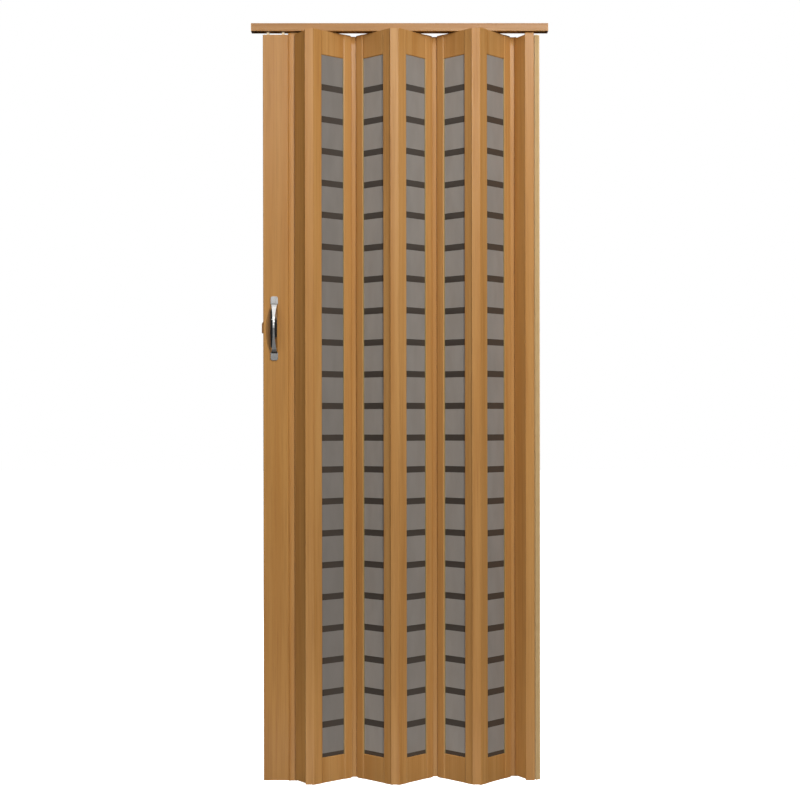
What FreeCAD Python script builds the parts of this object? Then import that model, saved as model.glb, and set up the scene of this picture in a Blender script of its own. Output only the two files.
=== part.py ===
import FreeCAD, Part
import math
import os

from FreeCAD import Vector

# Folding door of hollow plastic profiles, hung from a top rail and drawn part way along it.
# Millimetres. X runs along the rail, Y points away from the viewer, Z is up.
# The origin is the middle of the rail's top face, which is screwed to the lintel.

# Overall heights, measured down from the top of the rail
door_height = 2042.0
leaf_top_gap = 0.5
strip_end_gap = 1.1
narrow_leaf_top_gap = 6.2
narrow_leaf_bottom_gap = 4.4
post_top_gap = 8.3
post_bottom_gap = 3.3
jamb_top_gap = 8.0
jamb_bottom_gap = 3.0

# Top rail: a channel with a slot underneath, closed by a cap at each end
rail_length = 800.0
rail_depth = 30.0
rail_height = 21.4
rail_wall = 1.8
rail_slot = 10.0
rail_corner = 1.0
rail_screw_hole = 4.5
rail_screw_inset = 50.0
rail_screw_share = 0.3
end_cap_thickness = 1.5
end_cap_spigot = 8.0
end_cap_clearance = 0.2

# Leaves, hinge to hinge, and how far each glazed leaf stands open from the line of the rail
leaf_span = 133.0
leaf_thickness = 11.0
leaf_angles = (42.0, 44.3, 47.1, 45.8, 49.8)
narrow_leaf_span = 54.0
narrow_leaf_reach = 0.95
jamb_pivot_y = 3.0

# Hollow walls of the extruded profiles
wall = 1.1
web = 1.2

# Knuckle joint: a bead on the hinge strip turns in a socket at the edge of the leaf
bead_radius = 3.0
bead_clearance = 0.25
socket_open_outer = 20.0
socket_open_inner = 124.0
socket_wall = 1.6

# Hinge strips between the leaves
strip_bead_spacing = 17.2
strip_cap_width = 24.3
strip_cap_thickness = 1.8
strip_cap_chamfer = 1.1
strip_core_width = 5.8
strip_core_wall = 1.1
strip_neck = 1.9
strip_clearance = 0.4

# Stiles, boards, glass and glazing beads
stile_width = 33.2
channel_depth = 8.0
channel_lip = 1.5
edge_chamfer_width = 2.2
edge_chamfer_depth = 1.3
board_clearance = 0.1
board_end_gap = 0.3
top_board_height = 65.5
bottom_board_height = 68.0
board_chamfer = 1.8
glass_thickness = 2.5
glass_edge_cover = 6.0
glass_clearance = 0.1
glazing_bead_depth = 6.5
glazing_bead_reach = 0.9
glazing_bead_chamfer = 1.0

# Satin squares on the glass, with clear bars cut between them
bar_height = 17.0
bar_pitch = 85.6
first_bar = -174.2
bar_depth = 0.25

# Lead post with its handles and catch
post_inset = 31.2
post_width = 68.3
post_pivot_gap = 2.2
post_thickness = 16.0
post_wall = 1.5
post_corner = 1.5
post_glider_insets = (14.1, 54.6)

# Gliders that run in the rail
glider_length = 24.0
glider_width = 21.0
glider_corner = 4.0
glider_height = 8.0
glider_lift = 0.2
glider_stem = 7.0
glider_pin = 5.0
glider_pin_clearance = 0.2
glider_pin_depth = 18.0
plug_height = 22.0
plug_clearance = 0.2

# Bow handles
handle_inset = 30.3
handle_z = -821.0
handle_length = 172.0
handle_width = 19.0
handle_waist = 0.4
handle_thickness = 7.0
handle_edge = 2.2
handle_ridge = 4.4
handle_ridge_end = 17.4
handle_rings = 21
handle_reach = 30.0
handle_foot_width = 19.5
handle_foot_height = 24.0
handle_foot_thickness = 3.5
handle_foot_corner = 3.5
handle_bow_inset = 20.0

# Spring catch in the edge of the lead post
catch_height = 30.5
catch_reach = 4.0
catch_thickness = 7.0
catch_body_depth = 12.0
catch_z = -818.5

# Jamb profile and the strip that fixes it to the wall
jamb_inset = 22.8
jamb_width = 10.8
jamb_pivot_gap = 5.6
jamb_front = -9.0
jamb_shoulder = -2.0
jamb_back = 10.0
jamb_corner = 2.0
wall_strip_thickness = 2.4
wall_strip_back = 24.0
wall_screw_hole = 4.2
wall_screw_y = 16.5
wall_screw_inset = 78.0
wall_screw_count = 4

# Values that follow from the sizes above
rail_end = rail_length / 2
post_left = -rail_end + post_inset
post_right = post_left + post_width
post_pivot_x = post_right + post_pivot_gap
handle_x = post_left + handle_inset
wall_face = rail_end - jamb_inset
jamb_right = wall_face - wall_strip_thickness
jamb_left = jamb_right - jamb_width
jamb_pivot_x = jamb_left - jamb_pivot_gap
half_leaf = leaf_thickness / 2
socket_radius = bead_radius + bead_clearance
rail_floor = -rail_height
door_foot = -door_height
leaf_top = rail_floor - leaf_top_gap
post_top = rail_floor - post_top_gap
post_foot = door_foot + post_bottom_gap
glass_top = leaf_top - top_board_height
glass_foot = door_foot + bottom_board_height
strip_top = leaf_top - strip_end_gap
strip_foot = door_foot + strip_end_gap
jamb_top = leaf_top - jamb_top_gap
jamb_foot = door_foot + jamb_bottom_gap
stile_edge = stile_width - half_leaf
channel_floor = stile_edge - channel_depth
half_channel = half_leaf - channel_lip
half_board = half_channel - board_clearance
bar_count = int((first_bar - glass_foot) / bar_pitch) + 1


def polar(radius, degrees):
    """A point on a circle about the origin."""
    turn = math.radians(degrees)
    return (radius * math.cos(turn), radius * math.sin(turn))


def face_of(start, steps):
    """A flat face from a pen path: a step is a point for a line, or (through, end) for an arc."""
    edges = []
    here = Vector(*start, 0)
    for step in steps:
        if isinstance(step[0], tuple):
            through, end = Vector(*step[0], 0), Vector(*step[1], 0)
            edges.append(Part.Arc(here, through, end).toShape())
        else:
            end = Vector(*step, 0)
            edges.append(Part.LineSegment(here, end).toShape())
        here = end
    return Part.Face(Part.Wire(edges))


def box_face(x_low, x_high, y_low, y_high):
    """A plain rectangle."""
    return face_of(
        (x_low, y_low),
        [(x_high, y_low), (x_high, y_high), (x_low, y_high), (x_low, y_low)],
    )


def rounded_face(x_low, x_high, y_low, y_high, radius):
    """A rectangle with four round corners."""
    mid = radius * (1 - math.sqrt(0.5))
    return face_of(
        (x_low + radius, y_low),
        [
            (x_high - radius, y_low),
            ((x_high - mid, y_low + mid), (x_high, y_low + radius)),
            (x_high, y_high - radius),
            ((x_high - mid, y_high - mid), (x_high - radius, y_high)),
            (x_low + radius, y_high),
            ((x_low + mid, y_high - mid), (x_low, y_high - radius)),
            (x_low, y_low + radius),
            ((x_low + mid, y_low + mid), (x_low + radius, y_low)),
        ],
    )


def clipped_face(x_low, x_high, y_low, y_high, corner):
    """A rectangle with its four corners cut off."""
    return face_of(
        (x_low + corner, y_low),
        [
            (x_high - corner, y_low),
            (x_high, y_low + corner),
            (x_high, y_high - corner),
            (x_high - corner, y_high),
            (x_low + corner, y_high),
            (x_low, y_high - corner),
            (x_low, y_low + corner),
            (x_low + corner, y_low),
        ],
    )


def disc_face(radius, x=0.0, y=0.0):
    """A round face."""
    circle = Part.Circle(Vector(x, y, 0), Vector(0, 0, 1), radius)
    return Part.Face(Part.Wire([circle.toShape()]))


def joined(faces):
    """Overlapping flat faces made into one face without inner edges."""
    slab = faces[0].extrude(Vector(0, 0, 1))
    for face in faces[1:]:
        slab = slab.fuse(face.extrude(Vector(0, 0, 1)))
    slab = slab.removeSplitter()
    return [face for face in slab.Faces if abs(face.BoundBox.ZMax) < 1e-6][0]


def raised(face, foot, top):
    """The face drawn up into a bar between two heights."""
    bar = face.extrude(Vector(0, 0, top - foot))
    bar.translate(Vector(0, 0, foot))
    return bar


def placed(shape, origin, degrees):
    """A profile turned about Z and moved to its pivot."""
    moved = shape.copy()
    moved.rotate(Vector(0, 0, 0), Vector(0, 0, 1), degrees)
    moved.translate(Vector(origin[0], origin[1], 0))
    return moved


def flipped(shape):
    """The same profile with its front and back exchanged."""
    return shape.mirror(Vector(0, 0, 0), Vector(0, 1, 0))


def half_turn(shape, x):
    """The same profile turned half round about a point on its own length."""
    turned = shape.copy()
    turned.rotate(Vector(x, 0, 0), Vector(0, 0, 1), 180)
    return turned


def save(name, shapes):
    """Writes one node: a single solid, or several that don't touch."""
    shape = shapes[0] if len(shapes) == 1 else Part.makeCompound(shapes)
    shape.exportStep(os.path.join("parts", name + ".step"))


# Layout in plan: the leaves fold just far enough to reach from the lead post to the jamb
def lay_out_leaves(fold):
    """Pivot pairs of all leaves, left to right, with the leaf angles multiplied by fold."""
    angles = [math.radians(fold * angle) for angle in leaf_angles]
    depths = [leaf_span / 2 * math.sin(angle) for angle in angles]
    reach = narrow_leaf_reach * narrow_leaf_span
    offsets = [0.0] * len(angles)
    offsets[0] = depths[0] - min(depths[0], reach)
    offsets[-1] = min(depths[-1], reach + jamb_pivot_y) - depths[-1]
    start = (post_pivot_x + strip_bead_spacing, 0.0)
    corner_y = offsets[0] - depths[0]
    corner = (start[0] + math.sqrt(narrow_leaf_span**2 - corner_y**2), corner_y)
    pivots = [(start, corner)]
    side = -1
    for angle, depth, offset in zip(angles, depths, offsets):
        start_y = offset + side * depth
        step = math.sqrt(strip_bead_spacing**2 - (start_y - corner[1]) ** 2)
        start = (corner[0] + step, start_y)
        corner = (start[0] + leaf_span * math.cos(angle), offset - side * depth)
        pivots.append((start, corner))
        side = -side
    start = (corner[0] + strip_bead_spacing, corner[1])
    run = math.sqrt(narrow_leaf_span**2 - (start[1] - jamb_pivot_y) ** 2)
    pivots.append((start, (start[0] + run, jamb_pivot_y)))
    return pivots


def fold_to_fit():
    """The layout whose last leaf ends one hinge strip short of the jamb's pivot."""
    low, high = 0.0, 85.0 / max(leaf_angles)
    target = jamb_pivot_x - strip_bead_spacing
    for _ in range(50):
        fold = (low + high) / 2
        pivots = lay_out_leaves(fold)
        if pivots[-1][1][0] > target:
            low = fold
        else:
            high = fold
    return pivots


# Profiles
def socket_end(edge_steps):
    """Outline with an open knuckle socket at its left end, its mouth turned out and to the back.

    edge_steps run from the back face round the right side to the front face."""
    lip = math.radians(180 - socket_open_inner)
    outer_tip = 180 + socket_open_outer
    inner_tip = 180 - socket_open_inner
    start = (half_leaf / math.tan(lip), half_leaf)
    return face_of(
        start,
        [
            *edge_steps,
            (0.0, -half_leaf),
            (polar(half_leaf, (outer_tip + 270) / 2), polar(half_leaf, outer_tip)),
            polar(socket_radius, outer_tip),
            (
                polar(socket_radius, (outer_tip + 360 + inner_tip) / 2),
                polar(socket_radius, inner_tip),
            ),
            start,
        ],
    )


def stile_face():
    """Hollow stile, from its knuckle socket to the channel that takes glass and boards."""
    start_x = stile_edge - edge_chamfer_width
    end_y = half_leaf - edge_chamfer_depth
    outline = socket_end(
        [
            (start_x, half_leaf),
            (stile_edge, end_y),
            (stile_edge, half_channel),
            (channel_floor, half_channel),
            (channel_floor, -half_channel),
            (stile_edge, -half_channel),
            (stile_edge, -end_y),
            (start_x, -half_leaf),
        ]
    )
    inside = half_leaf - wall
    first = socket_radius + socket_wall
    last = channel_floor - wall
    middle = (first + last) / 2
    outline = outline.cut(box_face(first, middle - web / 2, -inside, inside))
    return outline.cut(box_face(middle + web / 2, last, -inside, inside))


def narrow_leaf_face():
    """Hollow narrow leaf with a knuckle socket at each edge."""
    middle = narrow_leaf_span / 2
    half = socket_end([(middle, half_leaf), (middle, -half_leaf)])
    inside = half_leaf - wall
    chamber = box_face(
        socket_radius + socket_wall, middle - web / 2, -inside, inside
    )
    half = half.cut(chamber)
    return joined([half, half_turn(half, middle)])


def strip_face():
    """Hinge strip: cap on the outer side of the fold (-Y), hollow core, two necks and two beads."""
    half_cap = strip_cap_width / 2
    cap_back = -half_leaf - strip_clearance
    cap_front = cap_back - strip_cap_thickness
    cap = face_of(
        (-half_cap, cap_back),
        [
            (-half_cap, cap_front + strip_cap_chamfer),
            (-half_cap + strip_cap_chamfer, cap_front),
            (half_cap - strip_cap_chamfer, cap_front),
            (half_cap, cap_front + strip_cap_chamfer),
            (half_cap, cap_back),
            (-half_cap, cap_back),
        ],
    )
    half_core = strip_core_width / 2
    cap_middle = (cap_front + cap_back) / 2
    pivot = strip_bead_spacing / 2
    faces = [
        cap,
        box_face(-half_core, half_core, cap_middle, strip_neck / 2),
        box_face(-pivot, pivot, -strip_neck / 2, strip_neck / 2),
        disc_face(bead_radius, -pivot),
        disc_face(bead_radius, pivot),
    ]
    hollow = half_core - strip_core_wall
    return joined(faces).cut(
        box_face(-hollow, hollow, cap_back, strip_neck / 2 - strip_core_wall)
    )


def glazing_bead_face():
    """Bead that wedges the glass in the channel, with a sloped sight edge."""
    toe = glass_thickness / 2 + glass_clearance
    nose = stile_edge + glazing_bead_reach
    return face_of(
        (stile_edge - glazing_bead_depth, toe),
        [
            (nose, toe),
            (nose, half_board - glazing_bead_chamfer),
            (nose - glazing_bead_chamfer, half_board),
            (stile_edge - glazing_bead_depth, half_board),
            (stile_edge - glazing_bead_depth, toe),
        ],
    )


def rail_face():
    """Rail section in its own plane: X across the rail, Y up, with its top on zero."""
    half = rail_depth / 2
    outer = rounded_face(-half, half, -rail_height, 0.0, rail_corner)
    inner = box_face(
        -half + rail_wall, half - rail_wall, -rail_height + rail_wall, -rail_wall
    )
    slot = box_face(
        -rail_slot / 2, rail_slot / 2, -rail_height - 1, -rail_height + rail_wall + 1
    )
    return outer.cut(inner).cut(slot)


# Rail
def along_rail(face, start, length):
    """A face drawn along X, from a section set out across the rail."""
    bar = face.extrude(Vector(0, 0, length))
    bar.rotate(Vector(0, 0, 0), Vector(1, 0, 0), 90)
    bar.rotate(Vector(0, 0, 0), Vector(0, 0, 1), 90)
    bar.translate(Vector(start, 0, 0))
    return bar


def make_rail():
    body_length = rail_length - 2 * end_cap_thickness
    rail = along_rail(rail_face(), -body_length / 2, body_length)
    outer_screw = rail_end - rail_screw_inset
    inner_screw = rail_end * rail_screw_share
    for x in (-outer_screw, -inner_screw, inner_screw, outer_screw):
        hole = Part.makeCylinder(
            rail_screw_hole / 2, 3 * rail_wall, Vector(x, 0, -2 * rail_wall)
        )
        rail = rail.cut(hole)
    save("top_rail", [rail])

    half = rail_depth / 2
    plate_face = rounded_face(-half, half, -rail_height, 0.0, rail_corner)
    inset = rail_wall + end_cap_clearance
    spigot_face = box_face(
        -half + inset, half - inset, -rail_height + inset, -inset
    )
    plate = along_rail(plate_face, -rail_length / 2, end_cap_thickness)
    spigot = along_rail(
        spigot_face, -body_length / 2 - 0.5, end_cap_spigot + 0.5
    )
    cap = plate.fuse(spigot).removeSplitter()
    save("rail_end_caps", [cap, half_turn(cap, 0.0)])


# Hinge strips
def make_strips(pivots):
    """One strip between each pair of neighbours; the cap is on the outside of its fold."""
    joints = [((post_pivot_x, 0.0), pivots[0][0])]
    joints += [(left[1], right[0]) for left, right in zip(pivots, pivots[1:])]
    joints.append((pivots[-1][1], (jamb_pivot_x, jamb_pivot_y)))
    names = [
        "lead_hinge_strip",
        "front_hinge_strip_1",
        "rear_hinge_strip_1",
        "front_hinge_strip_2",
        "rear_hinge_strip_2",
        "front_hinge_strip_3",
        "rear_hinge_strip_3",
        "jamb_hinge_strip",
    ]
    bar = raised(strip_face(), strip_foot, strip_top)
    for number, (name, (left, right)) in enumerate(zip(names, joints)):
        tilt = math.degrees(math.atan2(right[1] - left[1], right[0] - left[0]))
        cap_at_back = number % 2 == 0 and name != "jamb_hinge_strip"
        middle = ((left[0] + right[0]) / 2, (left[1] + right[1]) / 2)
        save(name, [placed(bar, middle, tilt + (180 if cap_at_back else 0))])
    return joints


# Glazed leaves
def chamfered(board, z):
    """The board with its two long edges at height z broken, where it meets the glass."""
    edges = []
    for edge in board.Edges:
        box = edge.BoundBox
        if abs(box.ZMin - z) < 0.01 and abs(box.ZMax - z) < 0.01 and box.YLength < 0.01:
            edges.append(edge)
    return board.makeChamfer(board_chamfer, edges)


def make_pane():
    """Glass of one leaf, with a shallow groove across its front face for every clear bar."""
    half_glass = glass_thickness / 2
    edge = channel_floor + 0.5
    foot = glass_foot - glass_edge_cover
    top = glass_top + glass_edge_cover
    pane = raised(
        box_face(edge, leaf_span - edge, -half_glass, half_glass), foot, top
    )
    grooves = []
    for number in range(bar_count):
        middle = first_bar - number * bar_pitch
        low = max(middle - bar_height / 2, glass_foot + 0.5)
        groove_face = box_face(
            stile_edge,
            leaf_span - stile_edge,
            -half_glass - 1,
            -half_glass + bar_depth,
        )
        grooves.append(raised(groove_face, low, middle + bar_height / 2))
    return pane.cut(Part.makeCompound(grooves))


def make_glazed_leaf(number, left, right):
    """Two stiles, two boards, the glass and its four beads, all in the plane of one leaf."""
    tilt = math.degrees(math.atan2(right[1] - left[1], right[0] - left[0]))
    name = "leaf_%d_" % number
    middle = leaf_span / 2

    def fit(shape):
        return placed(shape, left, tilt)

    stile = raised(stile_face(), door_foot, leaf_top)
    if number % 2 == 0:
        stile = flipped(stile)
    save(name + "left_stile", [fit(stile)])
    save(name + "right_stile", [fit(half_turn(stile, middle))])

    board_start = channel_floor + board_end_gap
    board_face = box_face(
        board_start, leaf_span - board_start, -half_board, half_board
    )
    half_groove = glass_thickness / 2 + glass_clearance
    groove_face = box_face(0.0, leaf_span, -half_groove, half_groove)
    cover = glass_edge_cover + board_end_gap
    top_board = chamfered(raised(board_face, glass_top, leaf_top), glass_top)
    top_board = top_board.cut(raised(groove_face, glass_top, glass_top + cover))
    along = math.hypot(glider_position(left, right) - left[0], left[1])
    pin_hole = Part.makeCylinder(
        glider_pin / 2 + glider_pin_clearance,
        glider_pin_depth + 0.5,
        Vector(along, 0, leaf_top - glider_pin_depth - 0.5),
    )
    top_board = top_board.cut(pin_hole)
    foot_board = chamfered(raised(board_face, door_foot, glass_foot), glass_foot)
    foot_board = foot_board.cut(raised(groove_face, glass_foot - cover, glass_foot))
    save(name + "boards", [fit(top_board), fit(foot_board)])
    save(name + "glass", [fit(make_pane())])

    bead = raised(glazing_bead_face(), glass_foot + 0.1, glass_top - 0.1)
    pair = [bead, flipped(bead)]
    save(
        name + "glazing_beads",
        [fit(side) for side in pair] + [fit(half_turn(side, middle)) for side in pair],
    )


# Gliders
def glider_position(left, right):
    """Where a leaf crosses the line of the rail."""
    return left[0] - left[1] * (right[0] - left[0]) / (right[1] - left[1])


def glider_head(x):
    """Slider that lies on the lips of the rail, with its stem through the slot."""
    seat = rail_floor + rail_wall + glider_lift
    half_length = glider_length / 2
    half_width = glider_width / 2
    outline = clipped_face(
        x - half_length, x + half_length, -half_width, half_width, glider_corner
    )
    return raised(outline, seat, seat + glider_height)


def make_leaf_gliders(pivots):
    gliders = []
    for left, right in pivots[1:-1]:
        x = glider_position(left, right)
        pin_foot = leaf_top - glider_pin_depth
        pin_top = rail_floor + rail_wall + glider_lift + 1
        pin = raised(disc_face(glider_pin / 2, x), pin_foot, pin_top)
        gliders.append(glider_head(x).fuse(pin).removeSplitter())
    save("leaf_gliders", gliders)


# Lead post
def make_post(pivot):
    """Lead post: three hollow chambers and a knuckle socket at its right edge."""
    half = post_thickness / 2
    inside = half - post_wall
    body = rounded_face(post_left, post_right, -half, half, post_corner)
    rebate_x = pivot[0] + strip_bead_spacing / 2 - strip_cap_width / 2 - 0.3
    body = body.cut(box_face(rebate_x, post_right + 1, half_leaf, half + 1))
    first = post_left + post_wall
    last = pivot[0] - half_leaf - 0.2
    width = (last - first - 2 * web) / 3
    chambers = [
        (first + n * (width + web), first + n * (width + web) + width) for n in range(3)
    ]
    for low, high in chambers:
        body = body.cut(box_face(low, high, -inside, inside))
    root = socket_radius + socket_wall
    socket = half_turn(socket_end([(root, half_leaf), (root, -half_leaf)]), 0.0)
    socket = placed(socket, pivot, 0)
    body = body.cut(disc_face(socket_radius, pivot[0], pivot[1]))
    post = raised(joined([body, socket]), post_foot, post_top)
    catch_gap = 0.2
    catch_slot = Part.makeBox(
        post_wall + 2,
        catch_thickness + 2 * catch_gap,
        catch_height + 2 * catch_gap,
        Vector(
            post_left - 1,
            -catch_thickness / 2 - catch_gap,
            catch_z - catch_height / 2 - catch_gap,
        ),
    )
    save("lead_post", [post.cut(catch_slot)])

    gliders = []
    for inset, (low, high) in zip(post_glider_insets, (chambers[0], chambers[2])):
        x = post_left + inset
        plug_face = box_face(
            low + plug_clearance,
            high - plug_clearance,
            -inside + plug_clearance,
            inside - plug_clearance,
        )
        plug = raised(plug_face, post_top - plug_height, post_top)
        half_stem = glider_stem / 2
        stem = raised(
            box_face(x - half_stem, x + half_stem, -half_stem, half_stem),
            post_top - 1,
            rail_floor + rail_wall + glider_lift + 1,
        )
        gliders.append(glider_head(x).fuse(stem).fuse(plug).removeSplitter())
    save("post_gliders", gliders)


# Handles and catch
def handle_ring(share, radius, sweep, centre_y, outward):
    """Section of the bow at a share of its sweep, from -1 at the foot to 1 at the head.

    It is flat against the fingers and roofed outside to a ridge, narrowest in the middle."""
    half = handle_width / 2 - handle_waist * (1 - share**2)
    ridge = (handle_ridge + (handle_ridge_end - handle_ridge) * share**2) / 2
    inner = -handle_thickness / 2
    edge = inner + handle_edge
    outline = [
        (-half, inner),
        (half, inner),
        (half, edge),
        (ridge, handle_thickness / 2),
        (-ridge, handle_thickness / 2),
        (-half, edge),
    ]
    turn = math.radians(share * sweep)
    points = []
    for across, out in outline:
        y = centre_y + outward * (radius + out) * math.cos(turn)
        z = handle_z + (radius + out) * math.sin(turn)
        points.append(Vector(handle_x + across, y, z))
    return Part.makePolygon(points + [points[0]])


def make_handle(name, face_y, outward):
    """Bow handle: sections lofted along an arc between two flat feet."""
    half_chord = handle_length / 2 - handle_bow_inset
    rise = handle_reach - handle_thickness / 2
    radius = (half_chord**2 + rise**2) / (2 * rise)
    sweep = math.degrees(math.asin(half_chord / radius))
    centre_y = face_y - outward * (radius - rise)
    rings = []
    for number in range(handle_rings):
        share = 2 * number / (handle_rings - 1) - 1
        rings.append(handle_ring(share, radius, sweep, centre_y, outward))
    shape = Part.makeLoft(rings, True, True)
    for side in (-1, 1):
        foot_face = clipped_face(
            -handle_foot_width / 2,
            handle_foot_width / 2,
            -handle_foot_height / 2,
            handle_foot_height / 2,
            handle_foot_corner,
        )
        foot_face.rotate(Vector(0, 0, 0), Vector(1, 0, 0), 90)
        foot_middle = handle_z + side * (handle_length - handle_foot_height) / 2
        foot_face.translate(Vector(handle_x, face_y, foot_middle))
        foot = foot_face.extrude(Vector(0, outward * handle_foot_thickness, 0))
        shape = shape.fuse(foot)
    room = 2 * handle_reach
    keep = Part.makeBox(
        4 * handle_width,
        room,
        2 * handle_length,
        Vector(
            handle_x - 2 * handle_width,
            face_y if outward > 0 else face_y - room,
            handle_z - handle_length,
        ),
    )
    save(name, [shape.common(keep).removeSplitter()])


def make_catch():
    """Spring catch: a body inside the post and a nose that stands out of its edge."""
    low = catch_z - catch_height / 2
    high = catch_z + catch_height / 2
    inner = post_left + catch_body_depth
    nose = post_left - catch_reach
    steps = [
        (nose + 0.6, low),
        (nose, low + 0.6),
        (nose, high - 2 * catch_reach),
        (
            (nose + 0.3 * catch_reach, high - 0.7 * catch_reach),
            (post_left, high),
        ),
        (inner, high),
        (inner, low),
    ]
    catch = face_of((inner, low), steps).extrude(Vector(0, 0, catch_thickness))
    catch.rotate(Vector(0, 0, 0), Vector(1, 0, 0), 90)
    catch.translate(Vector(0, catch_thickness / 2, 0))
    save("spring_catch", [catch])


# Wall side
def make_jamb(pivot):
    """Jamb profile with its knuckle socket, and the flat strip screwed to the wall."""
    body = face_of(
        (jamb_left, jamb_front + jamb_corner),
        [
            (
                (jamb_left + 0.4 * jamb_corner, jamb_front + 0.25 * jamb_corner),
                (jamb_left + jamb_corner, jamb_front),
            ),
            (jamb_right, jamb_shoulder),
            (jamb_right, jamb_back),
            (jamb_left, jamb_back),
            (jamb_left, jamb_front + jamb_corner),
        ],
    )
    root = jamb_left + wall - pivot[0]
    socket = socket_end([(root, half_leaf), (root, -half_leaf)])
    profile = joined([body, placed(socket, pivot, 0)])
    hollow = box_face(
        jamb_left + wall, jamb_right - wall, jamb_shoulder + wall, jamb_back - wall
    )
    save("jamb_profile", [raised(profile.cut(hollow), jamb_foot, jamb_top)])

    strip = raised(
        box_face(jamb_right, wall_face, jamb_shoulder, wall_strip_back),
        jamb_foot,
        jamb_top,
    )
    screw_foot = jamb_foot + wall_screw_inset
    screw_run = jamb_top - wall_screw_inset - screw_foot
    for number in range(wall_screw_count):
        z = screw_foot + number * screw_run / (wall_screw_count - 1)
        hole = Part.makeCylinder(
            wall_screw_hole / 2,
            3 * wall_strip_thickness,
            Vector(jamb_right - wall_strip_thickness, wall_screw_y, z),
            Vector(1, 0, 0),
        )
        strip = strip.cut(hole)
    save("wall_strip", [strip])


def main():
    os.makedirs("parts", exist_ok=True)
    pivots = fold_to_fit()
    make_rail()
    joints = make_strips(pivots)
    narrow = raised(
        narrow_leaf_face(),
        door_foot + narrow_leaf_bottom_gap,
        leaf_top - narrow_leaf_top_gap,
    )
    for name, (left, right) in (
        ("lead_narrow_leaf", pivots[0]),
        ("jamb_narrow_leaf", pivots[-1]),
    ):
        tilt = math.degrees(math.atan2(right[1] - left[1], right[0] - left[0]))
        save(name, [placed(flipped(narrow), left, tilt)])
    for number, (left, right) in enumerate(pivots[1:-1], start=1):
        make_glazed_leaf(number, left, right)
    make_leaf_gliders(pivots)
    make_post(joints[0][0])
    make_handle("front_handle", -post_thickness / 2, -1)
    make_handle("back_handle", post_thickness / 2, 1)
    make_catch()
    make_jamb(joints[-1][1])
    for left, right in pivots:
        print("leaf %.1f %.1f to %.1f %.1f" % (*left, *right))


main()
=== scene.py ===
import math

import bpy
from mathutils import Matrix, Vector


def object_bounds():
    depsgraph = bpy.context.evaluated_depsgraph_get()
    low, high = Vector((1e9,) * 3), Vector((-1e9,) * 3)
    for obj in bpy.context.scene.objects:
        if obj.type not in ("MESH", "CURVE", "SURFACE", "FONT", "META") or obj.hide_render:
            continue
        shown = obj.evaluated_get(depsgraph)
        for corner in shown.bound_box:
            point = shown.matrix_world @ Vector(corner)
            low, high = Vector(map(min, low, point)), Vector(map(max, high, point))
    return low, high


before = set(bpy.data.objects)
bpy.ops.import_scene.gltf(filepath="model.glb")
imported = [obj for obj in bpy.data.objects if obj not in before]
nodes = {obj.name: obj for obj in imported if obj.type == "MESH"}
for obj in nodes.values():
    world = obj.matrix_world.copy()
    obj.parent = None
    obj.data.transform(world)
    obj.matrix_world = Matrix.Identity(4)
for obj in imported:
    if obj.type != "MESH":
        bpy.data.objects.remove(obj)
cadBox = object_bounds()
print("frame loaded with", len(nodes), "nodes")


# Small helpers for shader trees

white = (1, 1, 1, 1)


def newMaterial(name):
    material = bpy.data.materials.new(name)
    material.use_nodes = True
    tree = material.node_tree
    shader = tree.nodes["Principled BSDF"]
    return material, tree, shader


def addNode(tree, kind, inputs=None, **settings):
    # an input is a socket to link or a plain value
    node = tree.nodes.new(kind)
    for key, value in settings.items():
        setattr(node, key, value)
    for key, value in (inputs or {}).items():
        if isinstance(value, bpy.types.NodeSocket):
            tree.links.new(value, node.inputs[key])
        else:
            node.inputs[key].default_value = value
    return node


def mathNode(tree, operation, first, second=0.0):
    return addNode(tree, "ShaderNodeMath", {0: first, 1: second}, operation=operation).outputs[0]


def mixColours(tree, amount, first, second, blend="MIX"):
    # the Mix node takes its colours at inputs 6 and 7, and gives one at output 2
    sockets = {0: amount, 6: first, 7: second}
    node = addNode(tree, "ShaderNodeMix", sockets, data_type="RGBA", blend_type=blend)
    return node.outputs[2]


def remap(tree, value, band, result=(0.0, 1.0)):
    # spreads a band of values over the range of the result
    node = addNode(tree, "ShaderNodeMapRange", {
        "Value": value, "From Min": band[0], "From Max": band[1],
        "To Min": result[0], "To Max": result[1],
    })
    return node.outputs[0]


def stretchedNoise(tree, perMetre, detail, rough=0.55, distortion=0.0):
    # the noise is drawn out along the axis that has the fewest waves per metre
    place = addNode(tree, "ShaderNodeTexCoord").outputs["Object"]
    mapped = addNode(tree, "ShaderNodeMapping", {"Vector": place, "Scale": perMetre})
    noise = addNode(tree, "ShaderNodeTexNoise", {
        "Vector": mapped.outputs[0], "Scale": 1.0, "Detail": detail,
        "Roughness": rough, "Distortion": distortion,
    })
    return noise.outputs["Fac"]


def evenNoise(tree, perMetre, detail):
    return stretchedNoise(tree, (perMetre, perMetre, perMetre), detail)


def addBump(tree, shader, height, strength, relief):
    bump = addNode(tree, "ShaderNodeBump", {"Height": height, "Strength": strength, "Distance": relief})
    tree.links.new(bump.outputs[0], shader.inputs["Normal"])


# Printed wood film on the plastic profiles

woodFilm = {
    "ground": (0.480, 0.252, 0.082, 1),
    "alongGrain": 0.022,        # how much slower the prints change along the grain
    "glossBand": (0.3, 0.7),    # levels of the grain from the glossiest to the dullest film
    "roughness": (0.32, 0.43),
    "bumpStrength": 0.5,
    "relief": 0.00012,
}

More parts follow.
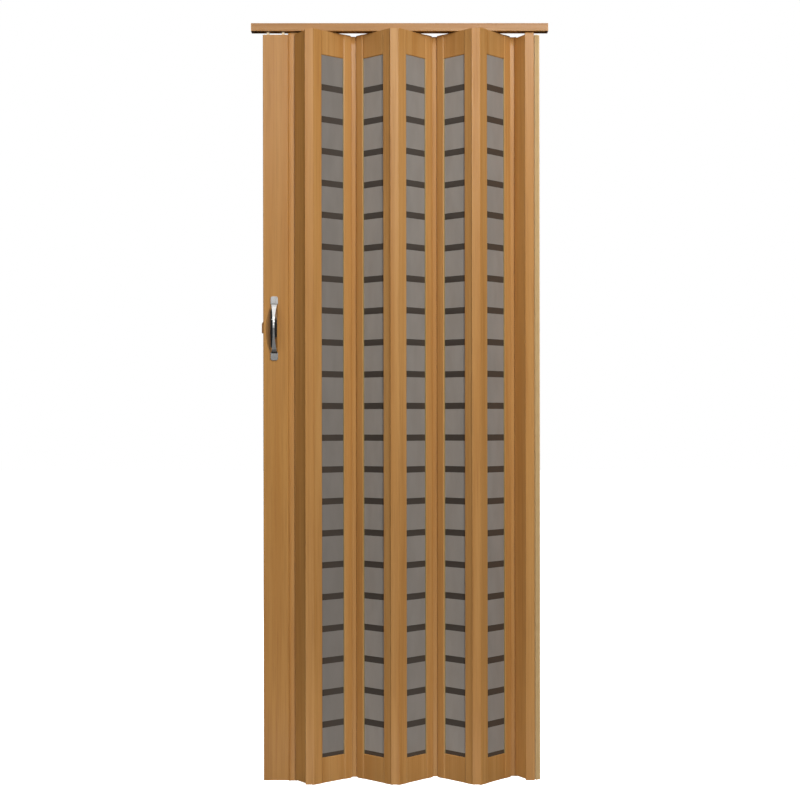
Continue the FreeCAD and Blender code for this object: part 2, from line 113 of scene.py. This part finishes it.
# prints over the ground: lines per metre across the grain, the levels of noise at which
# the colour starts and is full, and how much of it there is at most
woodPrints = {
    "streaks": {
        "colour": (0.415, 0.196, 0.053, 1), "lines": 38.0, "band": (0.35, 0.65), "most": 1.0,
        "detail": 3.0, "rough": 0.5, "distortion": 0.4,
    },
    "grain": {
        "colour": (0.290, 0.124, 0.032, 1), "lines": 210.0, "band": (0.48, 0.72), "most": 0.42,
        "detail": 4.0, "rough": 0.6, "distortion": 0.2,
    },
    "pores": {
        "colour": (0.290, 0.124, 0.032, 1), "lines": 900.0, "band": (0.58, 0.75), "most": 0.30,
        "detail": 2.0, "rough": 0.6, "distortion": 0.0,
    },
}

# tone of the film on each kind of profile, and the axis that its grain follows. The front, post and rail
# tones are painted shade, darker copies for pieces that face the light; the narrow tone is painted light, a
# lighter copy for the narrow leaves that stand in shade
profileFilms = {
    "stileWood": {"toneAndPaintedLight": (1.0, 1.0, 1.0), "grainAxis": "Z"},
    "boardWood": {"toneAndPaintedLight": (0.97, 0.97, 0.97), "grainAxis": "Z"},
    "stripWood": {"toneAndPaintedLight": (0.98, 0.98, 0.95), "grainAxis": "Z"},
    "frontWood": {"toneAndPaintedLight": (0.95, 0.92, 0.84), "grainAxis": "Z"},
    "postWood": {"toneAndPaintedLight": (0.90, 0.85, 0.68), "grainAxis": "Z"},
    "railWood": {"toneAndPaintedLight": (0.81, 0.78, 0.74), "grainAxis": "X"},
    "narrowWood": {"toneAndPaintedLight": (1.14, 1.12, 1.06), "grainAxis": "Z"},
}


def makeWood(name, toneAndPaintedLight, grainAxis):
    material, tree, shader = newMaterial(name)
    base = woodFilm["ground"]
    levels = {}
    for kind, look in woodPrints.items():
        perMetre = [look["lines"]] * 3
        perMetre["XYZ".index(grainAxis)] *= woodFilm["alongGrain"]
        levels[kind] = stretchedNoise(tree, perMetre, look["detail"], look["rough"], look["distortion"])
        amount = remap(tree, levels[kind], look["band"], (0.0, look["most"]))
        base = mixColours(tree, amount, base, look["colour"])
    # the tone multiplies the film; on the front, post, rail and narrow profiles it is painted shade and
    # painted light
    base = mixColours(tree, 1.0, base, (*toneAndPaintedLight, 1), "MULTIPLY")
    tree.links.new(base, shader.inputs["Base Color"])
    rough = remap(tree, levels["grain"], woodFilm["glossBand"], woodFilm["roughness"])
    tree.links.new(rough, shader.inputs["Roughness"])
    addBump(tree, shader, levels["grain"], woodFilm["bumpStrength"], woodFilm["relief"])
    return material


finishes = {name: makeWood(name, **film) for name, film in profileFilms.items()}
print("wood film ready")


# Satin pane: grey frosted squares, with clear bars between them painted dark: painted shade for what is seen
# through them

pane = {
    "satin": (0.252, 0.230, 0.207, 1),
    "satinPatch": (0.228, 0.207, 0.185, 1),
    "patches": (30, 30, 9),     # soft patches per metre along each axis
    "patchDetail": 3.0,
    "patchBand": (0.35, 0.65),
    # painted shade: the clear bars get a dark colour for the dark seen through them
    "bar": (0.056, 0.046, 0.038, 1),
    "firstBar": -0.1742,        # height of the middle of the highest bar
    "pitch": 0.0856,
    "wholeSteps": 50,           # added to the count of pitches, so that it stays positive to the floor
    "barHeight": 0.017,
    "noBarAbove": -0.13,
    # painted reflection: each pane is made a little lighter or darker in grey, for the neighbours that it
    # reflects
    "paintedReflections": {"leaf_1": 0.80, "leaf_2": 1.18, "leaf_3": 0.98, "leaf_4": 1.18, "leaf_5": 1.07},
    "satinRoughness": 0.42,
    "barRoughness": 0.16,
    "frost": 2500,              # grains of frost per metre
    "frostDetail": 1.0,
    "bumpStrength": 0.15,
    "relief": 0.0001,
}


def barMask(tree):
    # 1 on the bars and 0 between them, from the distance to the middle of the nearest bar
    halfStep = 0.5
    place = addNode(tree, "ShaderNodeTexCoord").outputs["Object"]
    height = addNode(tree, "ShaderNodeSeparateXYZ", {0: place}).outputs["Z"]
    steps = mathNode(tree, "DIVIDE", mathNode(tree, "SUBTRACT", height, pane["firstBar"]), pane["pitch"])
    nearest = mathNode(tree, "FRACT", mathNode(tree, "ADD", steps, pane["wholeSteps"] + halfStep))
    nearest = mathNode(tree, "ABSOLUTE", mathNode(tree, "SUBTRACT", nearest, halfStep))
    distance = mathNode(tree, "MULTIPLY", nearest, pane["pitch"])
    inBar = mathNode(tree, "LESS_THAN", distance, pane["barHeight"] / 2)
    lowEnough = mathNode(tree, "LESS_THAN", height, pane["noBarAbove"])
    return mathNode(tree, "MULTIPLY", inBar, lowEnough)


def makePane(leaf, toneAndPaintedLight):
    material, tree, shader = newMaterial(leaf + "_pane")
    inBar = barMask(tree)
    patch = stretchedNoise(tree, pane["patches"], pane["patchDetail"])
    satin = mixColours(tree, remap(tree, patch, pane["patchBand"]), pane["satin"], pane["satinPatch"])
    # painted reflection: the satin is made lighter or darker by the pane's own factor
    satin = mixColours(tree, 1.0, satin, (toneAndPaintedLight, toneAndPaintedLight, toneAndPaintedLight, 1), "MULTIPLY")
    # the bars are painted dark: painted shade for the dark seen through clear glass
    tree.links.new(mixColours(tree, inBar, satin, pane["bar"]), shader.inputs["Base Color"])
    rough = remap(tree, inBar, (0.0, 1.0), (pane["satinRoughness"], pane["barRoughness"]))
    tree.links.new(rough, shader.inputs["Roughness"])
    frost = evenNoise(tree, pane["frost"], pane["frostDetail"])
    addBump(tree, shader, frost, pane["bumpStrength"], pane["relief"])
    return material


for leaf, toneAndPaintedLight in pane["paintedReflections"].items():
    finishes[leaf + "_glass"] = makePane(leaf, toneAndPaintedLight)
print("satin panes ready")


# Plain plastics: two close colours in soft clouds, and a fine moulded skin

plasticSurface = {
    "cloudDetail": 3.0,
    "cloudBand": (0.35, 0.65),
    "glossBand": (0.3, 0.7),
    "glossier": -0.04,          # added to the roughness at the glossiest spots
    "duller": 0.06,             # and at the dullest
    "skin": 1800,               # grains of the skin per metre
    "skinDetail": 2.0,
    "bumpStrength": 0.2,
    "relief": 0.00005,
}

# the clouds are counted per metre
plastics = {
    "beadPlastic": {
        "first": (0.27, 0.195, 0.072, 1), "second": (0.24, 0.17, 0.064, 1), "roughness": 0.35, "clouds": 60,
    },
    "nylon": {
        "first": (0.72, 0.58, 0.38, 1), "second": (0.66, 0.52, 0.34, 1), "roughness": 0.45, "clouds": 120,
    },
    "catchPlastic": {
        "first": (0.30, 0.14, 0.045, 1), "second": (0.25, 0.115, 0.036, 1), "roughness": 0.4, "clouds": 120,
    },
    "wallPlastic": {
        "first": (0.56, 0.385, 0.185, 1), "second": (0.53, 0.355, 0.165, 1), "roughness": 0.4, "clouds": 40,
    },
    "capPlastic": {
        "first": (0.52, 0.27, 0.09, 1), "second": (0.46, 0.23, 0.075, 1), "roughness": 0.4, "clouds": 80,
    },
}


def makePlastic(name, first, second, roughness, clouds):
    material, tree, shader = newMaterial(name)
    cloud = evenNoise(tree, clouds, plasticSurface["cloudDetail"])
    base = mixColours(tree, remap(tree, cloud, plasticSurface["cloudBand"]), first, second)
    tree.links.new(base, shader.inputs["Base Color"])
    glossRange = (roughness + plasticSurface["glossier"], roughness + plasticSurface["duller"])
    rough = remap(tree, cloud, plasticSurface["glossBand"], glossRange)
    tree.links.new(rough, shader.inputs["Roughness"])
    skin = evenNoise(tree, plasticSurface["skin"], plasticSurface["skinDetail"])
    addBump(tree, shader, skin, plasticSurface["bumpStrength"], plasticSurface["relief"])
    return material


for name, look in plastics.items():
    finishes[name] = makePlastic(name, **look)
print("plastics ready")


# Chrome of the two handles, slightly smeared

chromeLook = {
    "colour": (0.66, 0.65, 0.63, 1),
    "smears": (90, 90, 60),     # smears per metre along each axis
    "smearDetail": 4.0,
    "smearBand": (0.3, 0.7),
    "roughness": (0.12, 0.20),
}


def makeChrome():
    material, tree, shader = newMaterial("chrome")
    shader.inputs["Metallic"].default_value = 1.0
    shader.inputs["Base Color"].default_value = chromeLook["colour"]
    smear = stretchedNoise(tree, chromeLook["smears"], chromeLook["smearDetail"])
    rough = remap(tree, smear, chromeLook["smearBand"], chromeLook["roughness"])
    tree.links.new(rough, shader.inputs["Roughness"])
    return material


finishes["chrome"] = makeChrome()
print("chrome ready")


# Which finish each piece gets: the first of these words in its name decides

finishByWord = {
    "glazing_beads": "beadPlastic",
    "handle": "chrome",
    "gliders": "nylon",
    "spring_catch": "catchPlastic",
    "rail_end_caps": "capPlastic",
    "wall_strip": "wallPlastic",
    "jamb_profile": "wallPlastic",
    "narrow_leaf": "narrowWood",
    "top_rail": "railWood",
    "boards": "boardWood",
    "rear_hinge_strip": "stripWood",
    "hinge_strip": "frontWood",
    "lead_post": "postWood",
    "stile": "stileWood",
}


def finishFor(name):
    if name in finishes:        # each pane has a finish of its own
        return finishes[name]
    word = next(word for word in finishByWord if word in name)
    return finishes[finishByWord[word]]


for name, piece in nodes.items():
    piece.data.materials.clear()
    piece.data.materials.append(finishFor(name))
print("finishes assigned")


# Floor, light and camera

studio = {
    "floorDrop": 0.012,         # from the lowest point of the door down to the floor
    "floorSize": 60.0,
    "floorColour": (0.92, 0.92, 0.92, 1),
    "floorRoughness": 0.9,
    "floorEmission": 1.0,
    "skyDark": 0.02,            # light from the sides that have no patch
    "skySeen": 1.0,             # the plain white behind the door
}

# soft patches of the room's light: where each comes from, how narrow, how strong
skyPatches = {
    "above": {"towards": (0.0, -0.2, 1.0), "narrow": 3.0, "strength": 0.5},
    "front": {"towards": (0.0, -1.0, -0.3), "narrow": 2.0, "strength": 0.04},
}

# lamps that light the door, without a reflection: metres and watts
softboxes = {
    "key": {"place": (1.35, -3.0, 0.15), "aim": (0.0, 0.0, -1.0), "size": 0.2, "power": 71.0},
    "high": {"place": (0.35, -2.2, 0.45), "aim": (0.0, 0.0, -0.6), "size": 0.6, "power": 23.5},
    "fill": {"place": (-2.4, -3.0, 0.7), "aim": (-0.1, 0.0, -0.8), "size": 2.0, "power": 32.0},
    "bounce": {"place": (0.0, -1.6, -2.0), "aim": (0.0, 0.0, -1.9), "size": 0.8, "power": 2.0},
    "floorGlow": {
        "place": (0.0, -0.35, -2.04), "aim": (0.0, 0.0, -1.95), "size": 1.2, "tall": 0.12, "power": 0.80,
    },
    "rearKey": {"place": (-1.5, 3.0, 0.4), "aim": (0.0, 0.0, -1.0), "size": 1.0, "power": 95.0},
    "rearFill": {"place": (2.2, 2.6, 0.2), "aim": (0.0, 0.0, -1.0), "size": 1.6, "power": 75.0},
}

# panels that only show as sheen on the film and the chrome
panels = {
    "leafSheen": {"place": (-1.0, -3.0, 0.5), "aim": (0.2, 0.0, -0.15), "size": 0.35, "power": 10.0},
    "railSheen": {"place": (0.66, -3.0, 1.1), "aim": (0.35, 0.0, 0.0), "size": 0.30, "power": 30.0},
    "handleOver": {
        "place": (-0.5, -1.5, 1.3), "aim": (-0.34, 0.0, -0.8), "size": 0.45, "tall": 2.4, "power": 3.2,
    },
    "handleHigh": {
        "place": (-0.58, -3.0, 0.55), "aim": (-0.34, 0.0, -0.8), "size": 0.45, "tall": 1.7, "power": 2.6,
    },
    "handleMid": {
        "place": (-0.58, -3.0, -0.49), "aim": (-0.34, 0.0, -0.8), "size": 0.45, "tall": 0.38, "power": 0.45,
    },
    "handleLow": {
        "place": (-0.58, -3.0, -1.54), "aim": (-0.34, 0.0, -0.9), "size": 0.45, "tall": 1.72, "power": 0.66,
    },
    "rearSheen": {
        "place": (-1.7, 3.0, -0.3), "aim": (-0.3, 0.0, -0.8), "size": 0.8, "tall": 2.4, "power": 6.0,
    },
    "handleUnder": {
        "place": (-0.45, -0.75, -1.75), "aim": (-0.34, 0.0, -0.88), "size": 0.45, "tall": 0.9, "power": 0.28,
    },
}


def makeFloor():
    low = cadBox[0][2] - studio["floorDrop"]
    half = studio["floorSize"] / 2
    corners = [(-half, -half, low), (half, -half, low), (half, half, low), (-half, half, low)]
    mesh = bpy.data.meshes.new("floor")
    mesh.from_pydata(corners, [], [(0, 1, 2, 3)])
    floor = bpy.data.objects.new("floor", mesh)
    bpy.context.scene.collection.objects.link(floor)
    material, tree, shader = newMaterial("floorPaint")
    shader.inputs["Base Color"].default_value = studio["floorColour"]
    shader.inputs["Emission Color"].default_value = white
    shader.inputs["Emission Strength"].default_value = studio["floorEmission"]
    shader.inputs["Roughness"].default_value = studio["floorRoughness"]
    mesh.materials.append(material)
    floor.visible_diffuse = False       # its white neither lights the door nor shows in its sheen
    floor.visible_glossy = False


def makeSky():
    world = bpy.data.worlds.new("studio")
    world.use_nodes = True
    tree = world.node_tree
    tree.nodes.clear()
    direction = addNode(tree, "ShaderNodeTexCoord").outputs["Generated"]
    level = studio["skyDark"]
    for patch in skyPatches.values():
        towards = Vector(patch["towards"]).normalized()
        lean = addNode(tree, "ShaderNodeVectorMath", {0: direction, 1: towards}, operation="DOT_PRODUCT")
        facing = mathNode(tree, "MAXIMUM", lean.outputs["Value"], 0.0)
        glow = mathNode(tree, "POWER", facing, patch["narrow"])
        glow = mathNode(tree, "MULTIPLY", glow, patch["strength"])
        level = mathNode(tree, "ADD", level, glow)
    soft = addNode(tree, "ShaderNodeBackground", {"Color": white, "Strength": level})
    seen = addNode(tree, "ShaderNodeBackground", {"Color": white, "Strength": studio["skySeen"]})
    fromCamera = addNode(tree, "ShaderNodeLightPath").outputs["Is Camera Ray"]
    mixed = addNode(tree, "ShaderNodeMixShader", {0: fromCamera, 1: soft.outputs[0], 2: seen.outputs[0]})
    addNode(tree, "ShaderNodeOutputWorld", {0: mixed.outputs[0]})
    bpy.context.scene.world = world


def makeSoftbox(name, look, isPanel):
    light = bpy.data.lights.new(name, "AREA")
    light.shape = "RECTANGLE"
    light.size = look["size"]
    light.size_y = look.get("tall", look["size"])
    light.energy = look["power"]
    box = bpy.data.objects.new(name, light)
    box.location = look["place"]
    beam = Vector(look["aim"]) - Vector(look["place"])
    box.rotation_euler = beam.to_track_quat("-Z", "Y").to_euler()
    box.visible_camera = False
    box.visible_glossy = isPanel
    box.visible_diffuse = not isPanel
    bpy.context.scene.collection.objects.link(box)


# place in metres, lens and sensor in millimetres, angles in degrees
view = {
    "place": (0.0, -4.455, -1.079),
    "lens": 74.25,
    "sensor": 36.0,
    "shiftX": -0.0103,
    "shiftY": 0.03,
    "tilt": 90.0,               # level
    "roll": 0.08,
    "turn": -0.28,
}


def makeCamera():
    lens = bpy.data.cameras.new("camera")
    lens.lens = view["lens"]
    lens.sensor_width = view["sensor"]
    lens.shift_x = view["shiftX"]
    lens.shift_y = view["shiftY"]
    camera = bpy.data.objects.new("camera", lens)
    camera.location = view["place"]
    camera.rotation_euler = [math.radians(view[angle]) for angle in ("tilt", "roll", "turn")]
    bpy.context.scene.collection.objects.link(camera)
    bpy.context.scene.camera = camera


makeFloor()
makeSky()
for name, look in softboxes.items():
    makeSoftbox(name, look, False)
for name, look in panels.items():
    makeSoftbox(name, look, True)
makeCamera()
bpy.context.scene.view_settings.view_transform = "Standard"
print("studio ready")
